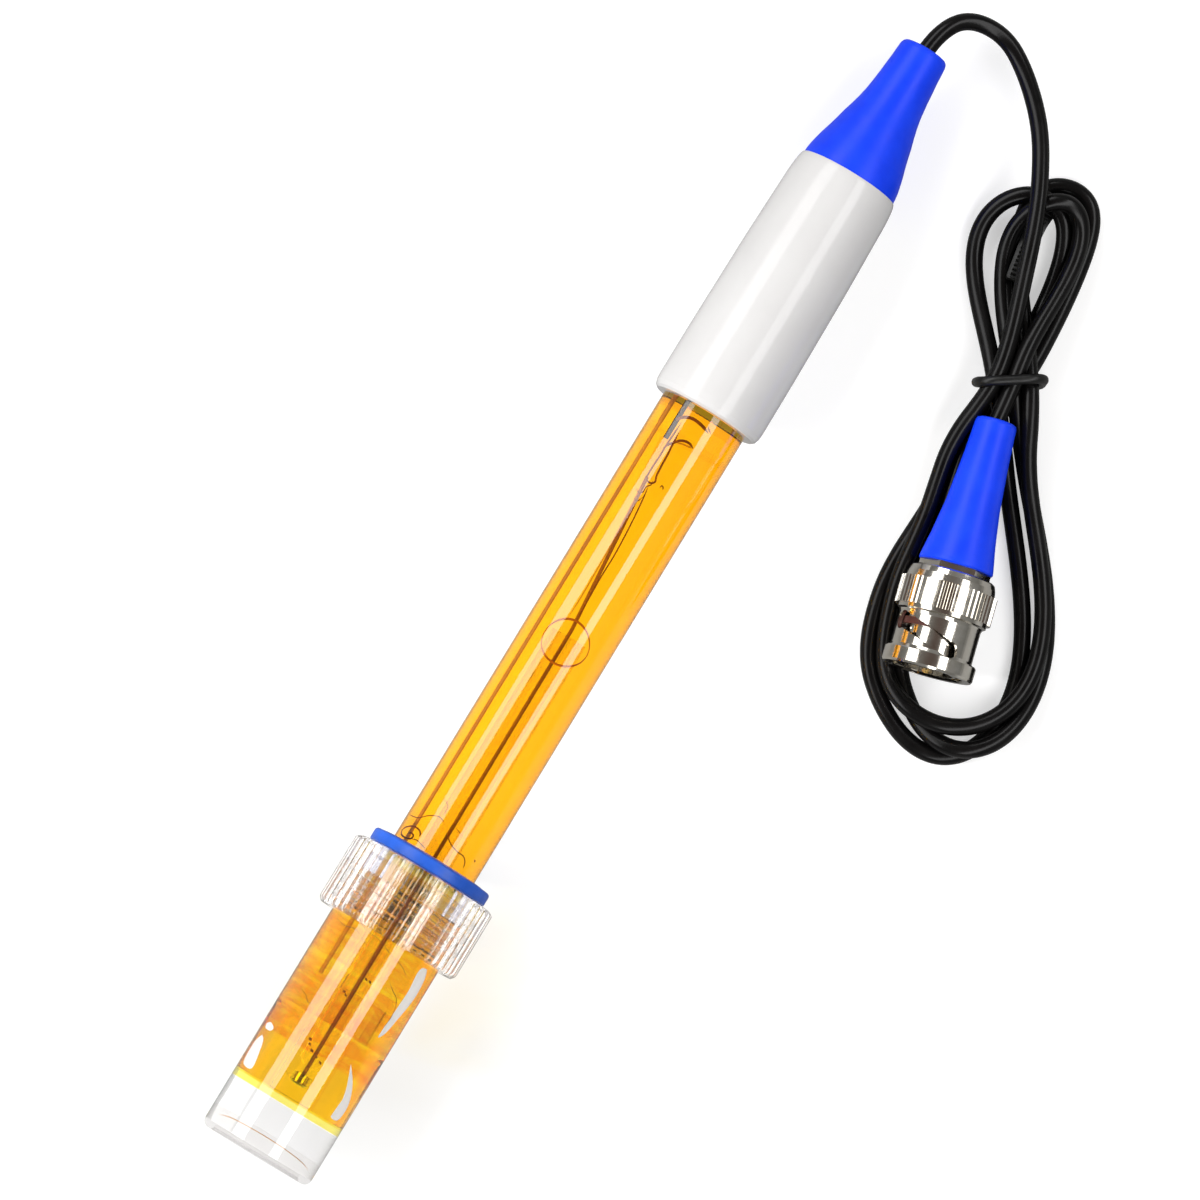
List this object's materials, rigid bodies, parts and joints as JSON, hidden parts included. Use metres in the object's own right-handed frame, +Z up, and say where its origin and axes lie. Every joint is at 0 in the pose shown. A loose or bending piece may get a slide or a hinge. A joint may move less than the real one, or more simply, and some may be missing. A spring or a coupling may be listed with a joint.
{
  "type": "redox electrode",
  "caption": "Laboratory redox (ORP) electrode with amber shaft, storage bottle, white and blue head, thin black coaxial cable in a banded hank and a bayonet coaxial plug.",
  "frame": {"origin": "on the surface that the electrode lies on, below the middle of the electrode's box (cable, hank and plug left out)", "axes": "+X along the electrode from the sensing end to the cable outlet, +Z up, cable and plug on the -Y side"},
  "size_m": [0.1759, 0.0671, 0.0206],
  "materials": {
    "amber_tube": "clear amber tinted plastic, polished",
    "clear_glass": "clear drawn glass",
    "platinum": "fine polished platinum",
    "silver_wire": "thin drawn wire",
    "amber_sheath": "amber resin",
    "black_insulation": "glossy black insulation",
    "gel": "clear amber gel",
    "orange_seal": "translucent orange resin",
    "porous_pin": "porous ceramic",
    "amber_potting": "cast amber resin",
    "white_plastic": "glossy white",
    "blue_cap": "satin royal blue",
    "blue_rubber": "satin royal blue elastomer",
    "crimp_metal": "plain crimped metal",
    "clear_bottle": "clear moulded plastic",
    "storage_liquid": "amber liquid",
    "clear_nut": "clear moulded plastic with fine ribs",
    "black_cable": "smooth black cable jacket",
    "black_rubber": "satin black elastomer",
    "nickel": "bright nickel plating",
    "spring_steel": "spring steel",
    "white_insulator": "white insulator",
    "gold_pin": "gold plated contact",
    "red_gasket": "ring gasket"
  },
  "bodies": {
    "electrode": {"body_tube": "amber_tube", "glass_stem": "clear_glass", "platinum_tip": "platinum", "stem_lead_wire": "silver_wire", "lead_sheath": "amber_sheath", "signal_lead": "black_insulation", "reference_wire": "silver_wire", "reference_lead": "black_insulation", "gel_electrolyte": "gel", "stem_seal": "orange_seal", "reference_junction": "porous_pin", "upper_plug": "amber_potting", "head_sleeve": "white_plastic", "strain_cap": "blue_cap", "cable_crimp": "crimp_metal", "cable_core_end": "white_insulator", "cord_inner": "black_cable", "cord_run": "black_cable", "cord_hank": "black_cable", "cord_tail": "black_cable", "hank_band": "black_rubber", "tie_strip": "black_rubber", "plug_boot": "blue_cap", "plug_cable_end": "black_cable", "plug_ferrule": "nickel", "plug_body": "nickel", "plug_insulator": "white_insulator", "plug_centre_pin": "gold_pin", "plug_gasket": "red_gasket", "plug_retaining_ring": "spring_steel", "plug_wave_washer": "spring_steel"},
    "bottle": {"storage_bottle": "clear_bottle", "storage_solution": "storage_liquid"},
    "gasket": {"bottle_gasket": "blue_rubber"},
    "nut": {"bottle_nut": "clear_nut"},
    "plug_lock": {"plug_thrust_washer": "spring_steel"},
    "coupling": {"plug_coupling": "nickel"}
  },
  "joints": [
    {"name": "bottle_slide", "type": "slide", "parent": "electrode", "child": "bottle", "axis": [-0.9996, 0, 0.0282], "range_m": [0, 0.06]},
    {"name": "nut_rise", "type": "slide", "parent": "bottle", "child": "gasket", "axis": [0.9996, 0, -0.0282], "range_m": [0, 0.006]},
    {"name": "nut_turn", "type": "hinge", "parent": "gasket", "child": "nut", "pos_m": [-0.04627, 0, 0.01032], "axis": [0.9996, 0, -0.0282], "range_deg": [0, 1080]},
    {"name": "coupling_slide", "type": "slide", "parent": "electrode", "child": "plug_lock", "axis": [-0.9642, -0.2613, 0.0454], "range_m": [0, 0.0008], "stiffness_N_per_m": 4000, "deforming": ["plug_wave_washer"]},
    {"name": "coupling_spin", "type": "hinge", "parent": "plug_lock", "child": "coupling", "pos_m": [0.02082, -0.04, 0.00784], "axis": [-0.9642, -0.2613, 0.0454], "continuous": true}
  ],
  "couplings": [
    {"joint": "nut_rise", "follows": "nut_turn", "m_per_rad": 0.0003183}
  ]
}
